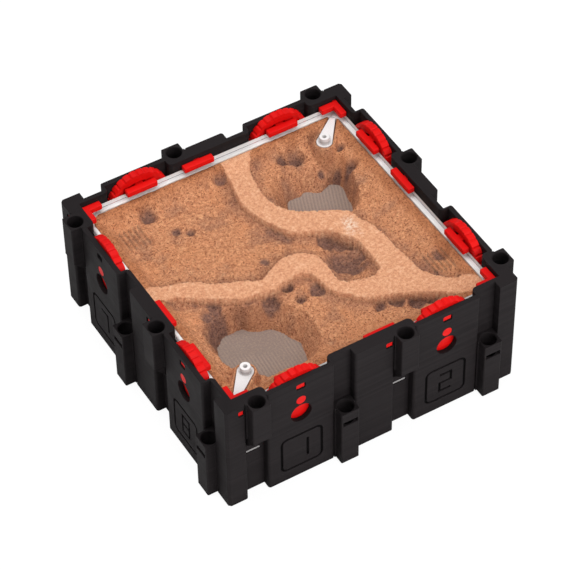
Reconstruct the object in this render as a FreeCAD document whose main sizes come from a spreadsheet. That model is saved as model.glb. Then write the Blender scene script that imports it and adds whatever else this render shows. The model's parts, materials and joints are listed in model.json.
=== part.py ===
import FreeCAD
import Part
import math
import os
import re
import Sketcher
from FreeCAD import Placement, Rotation, Vector

# An ant habitat module: a square black housing that carries a white nest tray under a clear lid.
# The origin is the centre of the underside, +Z is up, and the module lies square to X and Y.
# All four sides are alike, each turned 90 degrees from the last. A side is built in its own frame:
#   x  runs along the side, from left to right as seen from outside, and is 0 at its middle
#   y  is the height above the underside
#   z  is the distance from the module's centre, so it grows outwards

doc = FreeCAD.newDocument("ant_habitat")
sheet = doc.addObject("Spreadsheet::Sheet", "Sizes")

SIZES = {
    # housing
    "body_half": 100.0,          # centre to the outer face of a side
    "body_height": 83.5,
    "wall_depth": 8.5,           # outer face to inner face
    "corner_width": 13.2,        # corner block, along the side
    "corner_chamfer": 1.5,
    "block_round": 1.6,          # outer vertical edges of the blocks
    "base_thickness": 3.0,
    # connectors to the next module
    "module_gap": 1.0,           # between the faces of two joined modules
    "pin_bore": 10.0,
    "eye_front": 0.9,            # wall in front of the pin bore
    "eye_side": 1.1,             # wall at either side of the pin bore
    "eye_height": 29.5,          # height of the lug's full-width eye
    "mating_clearance": 0.3,
    "post_floor": 3.0,
    "eye_gap": 0.9,              # beside an eye, to the side of its recess
    "root_height": 9.7,          # the lug's sloping root under its eye
    "root_foot": 2.4,            # the root's depth at its lower end
    "lug_headroom": 0.8,         # under the lug, over the neighbour's post
    "bore_relief": 0.6,          # widening of the bore under the eye
    "mouth_chamfer": 0.45,
    "eye_round": 0.8,
    "tie_slot_width": 10.0,
    "tie_slot_height": 2.2,      # the wall's slots, which the tray's tabs fill
    "post_slot_height": 3.4,     # the posts' slots
    "tie_slot_drop": 9.0,        # the post's top to the middle of the slot
    "tab_gap": 0.3,              # round the tray's tab in its slot
    "tab_inset": 0.4,            # the tab's end under the recess's face
    # gates
    "panel_half": 22.65,         # half the width of the gate's block
    "panel_thickness": 3.2,
    "axle_diameter": 6.4,
    "axle_play": 0.05,
    "axle_depth": 2.0,           # how far the axle enters the tray's wall
    "axle_inset": 0.1,           # the axle's end under the outer face
    "port_drop": 11.1,           # axle to the middle of the port
    "port_diameter": 14.0,
    "inner_port": 13.0,          # port of the wheel and of the tray
    "wheel_side_gap": 0.25,
    "wheel_face_round": 18.2,    # radius of the sunk inner face
    "wheel_face_depth": 0.8,
    "rib_depth": 0.8,
    "rib_groove": 2.0,
    "rib_count": 26,
    "pocket_clearance": 0.55,
    "pocket_wall": 1.35,         # beside the pocket, inside the gate's block
    "pocket_round": 3.0,
    "gate_swing": 90.0,
    # clips
    "clip_length": 21.0,
    "clip_width": 4.6,
    "clip_height": 4.0,
    "clip_round": 0.7,
    "clip_wall_gap": 0.2,        # clip to the wall's inner face
    "slide_gap": 0.1,            # clip over the lid
    "stem_half": 2.7,
    "stem_rise": 10.0,           # axle to the underside of the stem
    "stem_height": 3.7,
    "stem_inset": 0.8,           # the stem's end under the outer face
    "window_gap": 0.4,
    "window_round": 1.0,
    "edge_clip_inset": 3.4,      # edge clip's middle to the middle block's side
    "edge_stem_half": 2.1,
    "corner_leg": 13.0,
    "corner_stem_half": 1.5,
    # nest
    "tray_gap": 0.3,
    "tray_wall": 3.4,
    "tray_floor": 3.0,
    "tray_round": 9.0,
    "rim_width": 1.7,            # part of the rim outside the seal
    "seal_seat": 1.0,
    "seal_stand": 0.3,           # the seal above the rim
    "seal_play": 0.05,
    "lid_drop": 10.5,            # top of the housing to the underside of the lid
    "lid_thickness": 3.0,
    "lid_round": 1.0,
    "vent_inset_x": 14.8,        # tray's inner wall to the middle of a group of vents
    "vent_inset_y": 31.8,
    "vent_pitch": 3.2,
    "vent_length": 16.0,
    "vent_width": 0.8,
    "vent_count": 5,
    # watering
    "inlet_inset": 18.6,         # tray's inner wall to the inlet's axis
    "inlet_head": 10.0,
    "inlet_tail_half": 1.8,
    "inlet_tail_gap": 0.4,
    "inlet_thickness": 3.6,
    "inlet_stand": 0.2,          # the inlet's body under the lid
    "nipple_height": 4.4,
    "nipple_diameter": 6.4,
    "nipple_bore": 2.7,
    "lid_hole_gap": 0.9,
    "sponge_level": 40.0,
    "sponge_gap": 0.3,
    "pad_inset_x": 41.8,         # tray's inner wall to the middle of a pad
    "pad_inset_y": 46.8,
    "pad_half_x": 27.0,
    "pad_half_y": 24.0,
    "pad_round": 8.0,
    "pad_thickness": 8.0,
    # substrate
    "sand_gap": 0.3,
    "bank_headroom": 0.8,        # the crest of the bank along the walls, under the lid
    "bank_crest": 3.0,
    "bank_width": 14.0,          # from the wall to the foot of the bank
    "sand_drop": 8.0,            # the open ground, under the lid
    "path_headroom": 3.0,
    "path_width": 13.2,
    "path_shoulder": 1.9,        # how far each flank of a path runs out
    "front_pit_inset_x": 45.8,   # tray's inner wall to the middle of a pit
    "front_pit_inset_y": 48.3,
    "front_pit_half_x": 21.5,
    "front_pit_half_y": 20.5,
    "back_pit_inset_x": 35.8,
    "back_pit_inset_y": 43.8,
    "back_pit_half_x": 20.0,
    "back_pit_half_y": 14.0,
    "wall_slope": 12.0,          # a pit's foot to its brim, towards the walls
    "path_slope": 2.0,           # the same, beside a path
    "open_slope": 15.0,          # the same, on the open ground
    "hollow_x": 33.0,            # the hollow between the two paths
    "hollow_y": 15.5,
    "hollow_brim": 11.0,
    "hollow_foot": 5.0,
    "hollow_depth": 8.0,
    # engraved gate numbers
    "mark_level": 22.5,
    "mark_half": 14.5,
    "mark_round": 4.5,
    "mark_line": 1.7,
    "mark_depth": 1.0,
    "digit_half": 4.0,
    "digit_rise": 7.0,
}
for row, (alias, value) in enumerate(SIZES.items(), start=1):
    sheet.set(f"A{row}", alias.replace("_", " "))
    sheet.set(f"B{row}", str(value))
    sheet.setAlias(f"B{row}", alias)
working = doc.addObject("Spreadsheet::Sheet", "Working")
doc.recompute()

RUN = 1.0  # how far a cutter stands past the face that it opens

# Planes and sizes that follow from the driving ones
INNER = "(body_half - wall_depth)"
WALL_END = "(body_half - corner_width)"
PIN_LINE = "(body_half + module_gap / 2)"
EYE_HALF = "(pin_bore / 2 + eye_side)"
RECESS_WIDTH = f"(2 * {EYE_HALF} + 2 * eye_gap)"
GATE = f"(body_half - corner_width - {RECESS_WIDTH} - panel_half)"
CENTRE_HALF = f"({GATE} - panel_half - {RECESS_WIDTH})"
OUTER_CONNECTOR = f"({GATE} + panel_half + {RECESS_WIDTH} / 2)"
INNER_CONNECTOR = f"({GATE} - panel_half - {RECESS_WIDTH} / 2)"
EDGE_CLIP = f"({CENTRE_HALF} - edge_clip_inset)"
EYE_FRONT = f"({PIN_LINE} + pin_bore / 2 + eye_front)"
RECESS = f"({PIN_LINE} - pin_bore / 2 - eye_front - mating_clearance)"
EYE_BOTTOM = "(body_height - eye_height)"
ROOT_BOTTOM = f"({EYE_BOTTOM} - root_height)"
POST_HEIGHT = f"({ROOT_BOTTOM} - lug_headroom)"
TIE_SLOT = f"({POST_HEIGHT} - tie_slot_drop)"
PANEL_BACK = "(body_half - panel_thickness)"
TRAY_HALF = f"({INNER} - tray_gap)"
TRAY_INNER = f"({TRAY_HALF} - tray_wall)"
LID_LEVEL = "(body_height - lid_drop)"
TRAY_TOP = f"({LID_LEVEL} - seal_stand)"
FLOOR_TOP = "(base_thickness + tray_floor)"
LID_TOP = f"({LID_LEVEL} + lid_thickness)"
CLIP_BOTTOM = f"({LID_TOP} + slide_gap)"
AXLE_LEVEL = f"({CLIP_BOTTOM} - stem_rise)"
WHEEL_RADIUS = "(panel_half - pocket_wall - pocket_clearance)"
WHEEL_BACK = f"({TRAY_HALF} + wheel_side_gap)"
WHEEL_THICKNESS = f"({PANEL_BACK} - {TRAY_HALF} - 2 * wheel_side_gap)"
PORT_LEVEL = f"({AXLE_LEVEL} - port_drop)"
POCKET_FLOOR = f"({AXLE_LEVEL} - {WHEEL_RADIUS} - pocket_clearance)"
POCKET_HALF = f"({WHEEL_RADIUS} + pocket_clearance)"
CLIP_BACK = f"({INNER} - clip_wall_gap)"
STEM_TOP = f"({CLIP_BOTTOM} + stem_height)"
STEM_END = "(body_half - stem_inset)"
CORNER_STEM = f"({CLIP_BACK} - corner_stem_half)"
NIPPLE_TOP = f"({LID_LEVEL} - inlet_stand + nipple_height)"
PAD_TOP = "(sponge_level + pad_thickness)"
PAD_X = f"({TRAY_INNER} - pad_inset_x)"
PAD_Y = f"({TRAY_INNER} - pad_inset_y)"
INLET = f"({TRAY_INNER} - inlet_inset)"
SAND_HALF = f"({TRAY_INNER} - sand_gap)"
SAND_LEVEL = f"({LID_LEVEL} - sand_drop)"
PATH_LEVEL = f"({LID_LEVEL} - path_headroom)"
BANK_LEVEL = f"({LID_LEVEL} - bank_headroom)"
INLET_TOP = f"({LID_LEVEL} - inlet_stand)"
INLET_UNDER = f"({INLET_TOP} - inlet_thickness)"


def expand(expression):
    """An expression with each size's name led by the sheet's."""
    return re.sub(r"[a-z][a-z_]+", lambda word: f"Sizes.{word.group(0)}" if word.group(0) in SIZES else word.group(0),
                  str(expression))


VALUES = {}


def number(expression):
    """The present value of an expression of sizes."""
    if expression not in VALUES:
        working.set("A1", "=" + expand(expression))
        working.recompute()
        VALUES[expression] = float(working.get("A1"))
    return VALUES[expression]


def bind(item, prop, expression):
    """Ties a property to the sheet."""
    item.setExpression(prop, expand(expression))


def box(name, x, y, z):
    """A block between two planes along each axis."""
    solid = doc.addObject("Part::Box", name)
    for size, axis, (low, high) in (("Length", "x", x), ("Width", "y", y), ("Height", "z", z)):
        bind(solid, size, f"({high}) - ({low})")
        bind(solid, f"Placement.Base.{axis}", low)
    return solid


TURNS = {
    "x": Rotation(Vector(0, 1, 0), 90),
    "y": Rotation(Vector(1, 0, 0), -90),
    "z": Rotation(),
}


def cylinder(name, axis, span, centre, radius):
    """A cylinder along an axis, from span[0] to span[1]. centre gives the other two coordinates, in order."""
    solid = doc.addObject("Part::Cylinder", name)
    solid.Placement = Placement(Vector(), TURNS[axis])
    bind(solid, "Radius", radius)
    bind(solid, "Height", f"({span[1]}) - ({span[0]})")
    others = [letter for letter in "xyz" if letter != axis]
    bind(solid, f"Placement.Base.{axis}", span[0])
    for letter, value in zip(others, centre):
        bind(solid, f"Placement.Base.{letter}", value)
    return solid


def mouth(name, axis, level, centre, radius):
    """The chamfer cutter at the open end of a bore, at a level along the axis."""
    cone = doc.addObject("Part::Cone", name)
    cone.Placement = Placement(Vector(), TURNS[axis])
    bind(cone, "Radius1", radius)
    bind(cone, "Radius2", f"{radius} + 2 * mouth_chamfer")
    bind(cone, "Height", "2 * mouth_chamfer")
    others = [letter for letter in "xyz" if letter != axis]
    bind(cone, f"Placement.Base.{axis}", f"{level} - mouth_chamfer")
    for letter, value in zip(others, centre):
        bind(cone, f"Placement.Base.{letter}", value)
    return cone


def fuse(name, solids):
    """The union of several solids."""
    union = doc.addObject("Part::MultiFuse", name)
    union.Shapes = solids
    union.Refine = True
    return union


def cut(name, base, tools):
    """A solid less one or more cutters."""
    result = doc.addObject("Part::Cut", name)
    result.Base = base
    result.Tool = tools[0] if len(tools) == 1 else fuse(name + "_cutters", tools)
    return result


def common(name, base, span):
    """The part of a solid that lies inside another."""
    result = doc.addObject("Part::Common", name)
    result.Base = base
    result.Tool = span
    return result


def group(name, solids):
    """Separate solids that make one sub-part."""
    pieces = doc.addObject("Part::Compound", name)
    pieces.Links = solids
    return pieces


def rounded(name, base, radius, wanted):
    """A solid with the edges that wanted() picks rounded."""
    doc.recompute([base])
    size = number(radius)
    picked = [i for i, edge in enumerate(base.Shape.Edges, start=1) if wanted(edge)]
    fillet = doc.addObject("Part::Fillet", name)
    fillet.Base = base
    fillet.Edges = [(i, size, size) for i in picked]
    return fillet


def chamfered(name, base, size, wanted):
    """A solid with the edges that wanted() picks chamfered."""
    doc.recompute([base])
    leg = number(size)
    picked = [i for i, edge in enumerate(base.Shape.Edges, start=1) if wanted(edge)]
    chamfer = doc.addObject("Part::Chamfer", name)
    chamfer.Base = base
    chamfer.Edges = [(i, leg, leg) for i in picked]
    return chamfer


def runs_along(edge, axis):
    """Whether an edge is straight and lies along an axis, given as 0, 1 or 2."""
    ends = edge.BoundBox
    spans = (ends.XLength, ends.YLength, ends.ZLength)
    return len(edge.Vertexes) == 2 and all(span < 1e-6 for i, span in enumerate(spans) if i != axis)


def near(value, target):
    """Whether two lengths are the same."""
    return abs(value - target) < 1e-4


def rounded_box(name, half_x, half_y, low, high, radius):
    """An upright block about the origin whose vertical edges are rounded."""
    block = box(name + "_block", (f"-{half_x}", half_x), (f"-{half_y}", half_y), (low, high))
    return rounded(name, block, radius, lambda edge: runs_along(edge, 2))


SIDE_NAMES = ("front", "right", "back", "left")
SIDES = {name: 360 * place / len(SIDE_NAMES) for place, name in enumerate(SIDE_NAMES)}
GATES = {}
for side_number, side in enumerate(SIDES):
    GATES[2 * side_number + 1] = (side, f"-{GATE}")
    GATES[2 * side_number + 2] = (side, GATE)
MISSING_CLIP = "gate_clip_7"


def on_side(master, name, side, across="0", up="0", out="0"):
    """A copy of a master in the place that it has on one side of the module."""
    copy = group(name, [master])
    turn = SIDES[side]
    copy.Placement = Placement(Vector(), Rotation(Vector(0, 0, 1), turn) * Rotation(Vector(1, 0, 0), 90))
    cos = round(math.cos(math.radians(turn)))
    sin = round(math.sin(math.radians(turn)))
    bind(copy, "Placement.Base.x", f"({cos}) * ({across}) + ({sin}) * ({out})")
    bind(copy, "Placement.Base.y", f"({sin}) * ({across}) - ({cos}) * ({out})")
    bind(copy, "Placement.Base.z", up)
    return copy


PARTS = []


def keep(item, label):
    """Names a finished sub-part."""
    item.Label = label
    PARTS.append(item)
    return item


# ---- Housing ----

DIGIT_STROKES = ("abcdef", "bc", "abged", "abgcd", "fgbc", "afgcd", "afgedc", "abc", "abcdefg")


MARK_SPAN = ("body_half - mark_depth", f"body_half + {RUN}")


def mark_frame(name, gate):
    """The cutter of the engraved square under a gate's port."""
    outer = box(name + "_outer", (f"{gate} - mark_half", f"{gate} + mark_half"),
                ("mark_level - mark_half", "mark_level + mark_half"), MARK_SPAN)
    outer = rounded(name + "_outer_round", outer, "mark_round", lambda edge: runs_along(edge, 2))
    inner = box(name + "_inner", (f"{gate} - mark_half + mark_line", f"{gate} + mark_half - mark_line"),
                ("mark_level - mark_half + mark_line", "mark_level + mark_half - mark_line"), MARK_SPAN)
    inner = rounded(name + "_inner_round", inner, "mark_round - mark_line", lambda edge: runs_along(edge, 2))
    return cut(name, outer, [inner])


def mark_digit(name, gate, digit):
    """The cutters of the engraved number in a gate's square."""
    middle = "mark_line / 2"
    wide = ("-digit_half", "digit_half")
    upper = (f"-{middle}", f"digit_rise + {middle}")
    lower = (f"-digit_rise - {middle}", middle)
    right = (f"digit_half - {middle}", f"digit_half + {middle}")
    left = (f"-digit_half - {middle}", f"-digit_half + {middle}")
    spans = {
        "a": (wide, (f"digit_rise - {middle}", f"digit_rise + {middle}")),
        "g": (wide, (f"-{middle}", middle)),
        "d": (wide, (f"-digit_rise - {middle}", f"-digit_rise + {middle}")),
        "b": (right, upper),
        "c": (right, lower),
        "f": (left, upper),
        "e": (left, lower),
    }
    strokes = []
    for stroke in DIGIT_STROKES[digit]:
        (start, end), (low, high) = spans[stroke]
        strokes.append(box(name, (f"{gate} + {start}", f"{gate} + {end}"),
                           (f"mark_level + {low}", f"mark_level + {high}"), MARK_SPAN))
    return strokes


def stem_window(name, middle, half, inner_face):
    """The cutter of the window that a clip's stem passes through."""
    opening = box(name + "_block", (f"{middle} - {half} - window_gap", f"{middle} + {half} + window_gap"),
                  (f"{CLIP_BOTTOM} - window_gap", f"{STEM_TOP} + window_gap"),
                  (f"{inner_face} - {RUN}", f"body_half + {RUN}"))
    return rounded(name, opening, "window_round", lambda edge: runs_along(edge, 2))


def wall_blank():
    """A side before its numbers: corner block, two gate blocks, middle block and the recesses between them."""
    name = "wall"
    height = ("0", "body_height")
    slab = box(name + "_slab", ("-body_half", WALL_END), height, (INNER, "body_half"))
    corner = box(name + "_return", ("-body_half", f"-{INNER}"), height, (WALL_END, INNER))
    block = fuse(name + "_block", [slab, corner])
    outside = (RECESS, f"body_half + {RUN}")
    recesses = [
        box(name + "_recess", (f"-{WALL_END}", f"-{GATE} - panel_half"), (-RUN, f"body_height + {RUN}"), outside),
        box(name + "_recess", (f"panel_half - {GATE}", f"-{CENTRE_HALF}"), (-RUN, f"body_height + {RUN}"), outside),
        box(name + "_recess", (CENTRE_HALF, f"{GATE} - panel_half"), (-RUN, f"body_height + {RUN}"), outside),
        box(name + "_recess", (f"{GATE} + panel_half", f"{WALL_END} + {RUN}"), (-RUN, f"body_height + {RUN}"), outside),
    ]
    gates = (f"-{GATE}", GATE)
    pockets = [box(name + "_pocket", (f"{gate} - {POCKET_HALF}", f"{gate} + {POCKET_HALF}"),
                   (POCKET_FLOOR, f"body_height + {RUN}"), (f"{INNER} - {RUN}", PANEL_BACK)) for gate in gates]
    shaped = cut(name + "_shaped", block, recesses + pockets)
    outer_face = number("body_half")
    inner_face = number(INNER)
    end = number(WALL_END)
    tall = number("body_height")
    pocket_ends = [number(f"{gate} {sign} {POCKET_HALF}") for gate in gates for sign in "+-"]

    def block_edge(edge):
        """An outer vertical edge of a block, apart from the housing's corner."""
        place = edge.BoundBox
        return (runs_along(edge, 1) and near(place.ZMin, outer_face) and near(place.YLength, tall)
                and -outer_face + RUN < place.XMin < end - RUN)

    def pocket_edge(edge):
        """An inner vertical edge at either end of a gate's pocket."""
        place = edge.BoundBox
        return (runs_along(edge, 1) and near(place.ZMin, inner_face)
                and any(near(place.XMin, x) for x in pocket_ends))

    def corner_edge(edge):
        """The outer vertical edge at the housing's corner."""
        place = edge.BoundBox
        return runs_along(edge, 1) and near(place.ZMin, outer_face) and near(place.XMin, -outer_face)

    softened = rounded(name + "_softened", shaped, "block_round", block_edge)
    softened = rounded(name + "_pocketed", softened, "pocket_round", pocket_edge)
    softened = chamfered(name + "_cornered", softened, "corner_chamfer", corner_edge)
    through = (f"{PANEL_BACK} - {RUN}", f"body_half + {RUN}")
    cutters = []
    for gate in gates:
        cutters.append(cylinder(name + "_port", "z", through, (gate, PORT_LEVEL), "port_diameter / 2"))
        cutters.append(cylinder(name + "_axle_hole", "z", through, (gate, AXLE_LEVEL), "axle_diameter / 2 + axle_play"))
        cutters.append(stem_window(name + "_gate_window", gate, "stem_half", PANEL_BACK))
        cutters.append(mark_frame(name + "_mark", gate))
    cutters.append(stem_window(name + "_edge_window", EDGE_CLIP, "edge_stem_half", INNER))
    cutters.append(stem_window(name + "_corner_window", f"-{CORNER_STEM}", "corner_stem_half", INNER))
    for lug in (f"-{OUTER_CONNECTOR}", INNER_CONNECTOR):
        cutters.append(box(name + "_tie_slot", (f"{lug} - tie_slot_width / 2", f"{lug} + tie_slot_width / 2"),
                           (f"{TIE_SLOT} - tie_slot_height / 2", f"{TIE_SLOT} + tie_slot_height / 2"),
                           (f"{INNER} - {RUN}", f"{RECESS} + {RUN}")))
    return cut(name + "_blank", softened, cutters)


def wall(blank, side, digits):
    """A side of the housing with the numbers of its two gates."""
    strokes = []
    for gate, digit in zip((f"-{GATE}", GATE), digits):
        strokes.extend(mark_digit(f"digit_{digit}", gate, digit))
    keep(on_side(cut(f"wall_{side}_numbered", blank, strokes), f"wall_{side}", side), f"wall_{side}")


def front_edge(edge):
    """An upright edge on the outer face of a connector."""
    return runs_along(edge, 1) and near(edge.BoundBox.ZMin, number(EYE_FRONT))


def web(name, middle, height):
    """The block that fills the recess between a connector and the two blocks beside it."""
    half = f"{RECESS_WIDTH} / 2"
    return box(name + "_web", (f"{middle} - {half}", f"{middle} + {half}"), height, (RECESS, "body_half"))


def lug(name, middle):
    """An eye on a sloping root, with an upright bore for the pin that joins two modules."""
    sides = (f"{middle} - {EYE_HALF}", f"{middle} + {EYE_HALF}")
    eye = box(name + "_eye", sides, (EYE_BOTTOM, "body_height"), (RECESS, EYE_FRONT))
    root = doc.addObject("Part::Wedge", name + "_root")
    for prop in ("Xmin", "X2min"):
        bind(root, prop, sides[0])
    for prop in ("Xmax", "X2max"):
        bind(root, prop, sides[1])
    bind(root, "Ymin", ROOT_BOTTOM)
    bind(root, "Ymax", EYE_BOTTOM)
    bind(root, "Zmin", RECESS)
    bind(root, "Z2min", RECESS)
    bind(root, "Zmax", f"{RECESS} + root_foot")
    bind(root, "Z2max", EYE_FRONT)
    eye = rounded(name + "_soft", eye, "eye_round", front_edge)
    body = fuse(name + "_body", [eye, root, web(name, middle, (EYE_BOTTOM, "body_height"))])
    bore = cylinder(name + "_bore", "y", (f"{EYE_BOTTOM} - {RUN}", f"body_height + {RUN}"), (middle, PIN_LINE), "pin_bore / 2")
    relief = cylinder(name + "_relief", "y", (f"{ROOT_BOTTOM} - {RUN}", EYE_BOTTOM), (middle, PIN_LINE),
                      "pin_bore / 2 + bore_relief")
    lead = mouth(name + "_mouth", "y", "body_height", (middle, PIN_LINE), "pin_bore / 2")
    return cut(name, body, [bore, relief, lead])


def post(name, middle):
    """A post that stands under the neighbour's lug, with a blind bore for the same pin."""
    block = box(name + "_block", (f"{middle} - {EYE_HALF}", f"{middle} + {EYE_HALF}"), ("0", POST_HEIGHT), (RECESS, EYE_FRONT))
    block = rounded(name + "_soft", block, "eye_round", front_edge)
    block = fuse(name + "_body", [block, web(name, middle, ("0", POST_HEIGHT))])
    bore = cylinder(name + "_bore", "y", ("post_floor", f"{POST_HEIGHT} + {RUN}"), (middle, PIN_LINE), "pin_bore / 2")
    lead = mouth(name + "_mouth", "y", POST_HEIGHT, (middle, PIN_LINE), "pin_bore / 2")
    slot = box(name + "_slot", (f"{middle} - tie_slot_width / 2", f"{middle} + tie_slot_width / 2"),
               (f"{TIE_SLOT} - post_slot_height / 2", f"{TIE_SLOT} + post_slot_height / 2"),
               (PIN_LINE, f"{EYE_FRONT} + {RUN}"))
    return cut(name, block, [bore, lead, slot])


def connectors():
    """The two lugs and two posts of a side, as two masters."""
    lugs = [lug("lug_outer", f"-{OUTER_CONNECTOR}"), lug("lug_inner", INNER_CONNECTOR)]
    posts = [post("post_inner", f"-{INNER_CONNECTOR}"), post("post_outer", OUTER_CONNECTOR)]
    return group("lug_pair", lugs), group("post_pair", posts)


def base_plate():
    """The floor of the housing, which carries the tray."""
    half = TRAY_HALF
    keep(box("base_plate", (f"-{half}", half), (f"-{half}", half), ("0", "base_thickness")), "base_plate")


# ---- Gates ----


def sketch_on(body, name, plane):
    """An empty sketch on one of a body's origin planes."""
    sketch = body.newObject("Sketcher::SketchObject", name)
    origin_plane = [item for item in body.Origin.OriginFeatures if item.Role == plane][0]
    sketch.AttachmentSupport = [(origin_plane, "")]
    sketch.MapMode = "FlatFace"
    return sketch


def hold(sketch, kind, arguments, name, expression):
    """A dimension of a sketch that is tied to the sheet."""
    index = sketch.addConstraint(Sketcher.Constraint(kind, *arguments, abs(number(expression))))
    sketch.renameConstraint(index, name)
    bind(sketch, f"Constraints.{name}", expression)


def circle(sketch, x, y, radius, name):
    """A circle whose centre and radius are tied to the sheet."""
    index = sketch.addGeometry(Part.Circle(Vector(number(x), number(y), 0), Vector(0, 0, 1), number(radius)))
    hold(sketch, "Radius", (index,), name + "_radius", radius)
    for kind, value, label in (("DistanceX", x, "_across"), ("DistanceY", y, "_up")):
        if near(number(value), 0):
            sketch.addConstraint(Sketcher.Constraint("PointOnObject", index, 3, -2 if kind == "DistanceX" else -1))
        else:
            along = (-1, 1, index, 3) if number(value) > 0 else (index, 3, -1, 1)
            sign = "" if number(value) > 0 else "-"
            hold(sketch, kind, along, name + label, f"{sign}({value})")


def pocket(body, sketch, name, depth, towards):
    """A pocket from a sketch, cut towards +1 or -1 along its normal. depth is an expression."""
    before = body.Shape.Volume
    feature = body.newObject("PartDesign::Pocket", name)
    feature.Profile = sketch
    feature.Reversed = towards > 0
    bind(feature, "Length", depth)
    doc.recompute()
    if not body.Shape.Volume < before - 1e-3:
        raise RuntimeError(f"{name} cut nothing")
    return feature


def gate_wheel():
    """A thumbwheel with a ribbed rim, a port that swings down to the wall's, and an arc slot for the clip's stem."""
    name = "gate_wheel"
    body = doc.addObject("PartDesign::Body", name)
    disc = sketch_on(body, name + "_disc", "XY_Plane")
    circle(disc, "0", "0", WHEEL_RADIUS, "rim")
    circle(disc, "0", "0", "axle_diameter / 2 + axle_play", "hub")
    circle(disc, "-port_drop", "0", "inner_port / 2", "port")
    pad = body.newObject("PartDesign::Pad", name + "_pad")
    pad.Profile = disc
    bind(pad, "Length", WHEEL_THICKNESS)
    doc.recompute()
    sunk = sketch_on(body, name + "_sunk", "XY_Plane")
    circle(sunk, "0", "0", "wheel_face_round", "face")
    pocket(body, sunk, name + "_face", "wheel_face_depth", 1)
    slot = sketch_on(body, name + "_slot", "XY_Plane")
    arc_slot(slot)
    pocket(body, slot, name + "_stem_slot", WHEEL_THICKNESS, 1)
    groove = sketch_on(body, name + "_groove", "XY_Plane")
    rib_notch(groove)
    first = pocket(body, groove, name + "_rib", WHEEL_THICKNESS, 1)
    ribs = body.newObject("PartDesign::PolarPattern", name + "_ribs")
    ribs.Originals = [first]
    axis = [item for item in body.Origin.OriginFeatures if item.Role == "Z_Axis"][0]
    ribs.Axis = (axis, [""])
    ribs.Angle = 360
    bind(ribs, "Occurrences", "rib_count")
    body.Tip = ribs
    return body


def outline(sketch, edges):
    """Draws the edges of a closed outline and fixes them."""
    for index, edge in enumerate(edges):
        sketch.addGeometry(edge)
        sketch.addConstraint(Sketcher.Constraint("Block", index))


def rib_notch(sketch):
    """The outline of the notch between two ribs of a wheel's rim."""
    rim = number(WHEEL_RADIUS)
    half = number("rib_groove / 2")
    corners = [Vector(-half, -rim - RUN, 0), Vector(half, -rim - RUN, 0), Vector(half, -rim, 0),
               Vector(0, number("rib_depth") - rim, 0), Vector(-half, -rim, 0)]
    outline(sketch, [Part.LineSegment(start, end) for start, end in zip(corners, corners[1:] + corners[:1])])


def arc_slot(sketch):
    """The outline of the slot that clears the clip's stem while the gate swings."""
    inner = number("stem_rise - window_gap")
    outer = math.hypot(number(f"{STEM_TOP} - {AXLE_LEVEL}"), number("stem_half")) + number("window_gap")
    margin = math.degrees(math.asin((number("stem_half") + number("window_gap")) / inner))
    start = math.radians(90 - number("gate_swing") - margin)
    end = math.radians(90 + margin)

    def at(radius, angle):
        return Vector(radius * math.cos(angle), radius * math.sin(angle), 0)

    middle = (start + end) / 2
    outline(sketch, [
        Part.Arc(at(inner, start), at(inner, middle), at(inner, end)),
        Part.Arc(at(outer, start), at(outer, middle), at(outer, end)),
        Part.LineSegment(at(inner, start), at(outer, start)),
        Part.LineSegment(at(inner, end), at(outer, end)),
    ])


def gate_axle():
    """The pin that a gate turns on. It passes the wall and the wheel and ends in the tray's wall."""
    return cylinder("gate_axle", "z", (f"{TRAY_HALF} - axle_depth + axle_inset", "body_half - axle_inset"),
                    ("0", AXLE_LEVEL), "axle_diameter / 2")


# ---- Clips ----


def clip_bar(name, x, z):
    """The part of a clip that lies on the lid, with all its edges rounded."""
    bar = box(name + "_bar", x, (CLIP_BOTTOM, f"{CLIP_BOTTOM} + clip_height"), z)
    return rounded(name + "_bar_round", bar, "clip_round", lambda edge: True)


def clip_stem(name, middle, half):
    """The stem that reaches from a clip's bar into the wall's window."""
    return box(name + "_stem", (f"{middle} - {half}", f"{middle} + {half}"), (CLIP_BOTTOM, STEM_TOP),
               (f"{CLIP_BACK} - clip_width / 2", STEM_END))


def straight_clip(name, half):
    """A clip with one straight bar. half is half the width of its stem."""
    bar = clip_bar(name, ("-clip_length / 2", "clip_length / 2"), (f"{CLIP_BACK} - clip_width", CLIP_BACK))
    return fuse(name, [bar, clip_stem(name, "0", half)])


def corner_clip():
    """A clip with two legs, round the corner at the left end of a side."""
    name = "corner_clip"
    along = clip_bar(name + "_along", (f"-{CLIP_BACK}", f"corner_leg - {CLIP_BACK}"), (f"{CLIP_BACK} - clip_width", CLIP_BACK))
    across = clip_bar(name + "_across", (f"-{CLIP_BACK}", f"clip_width - {CLIP_BACK}"), (f"{CLIP_BACK} - corner_leg", CLIP_BACK))
    return fuse(name, [along, across, clip_stem(name, f"-{CORNER_STEM}", "corner_stem_half")])


# ---- Nest ----

def at_gates(name, master):
    """A copy of a cutter at each gate."""
    return [on_side(master, name, side, across=gate) for side, gate in GATES.values()]


def upright(name, half, low, high, radius):
    """A square block about the module's centre with rounded upright edges, in a side's frame."""
    block = box(name + "_block", (f"-{half}", half), (low, high), (f"-{half}", half))
    return rounded(name, block, radius, lambda edge: runs_along(edge, 1))


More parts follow.
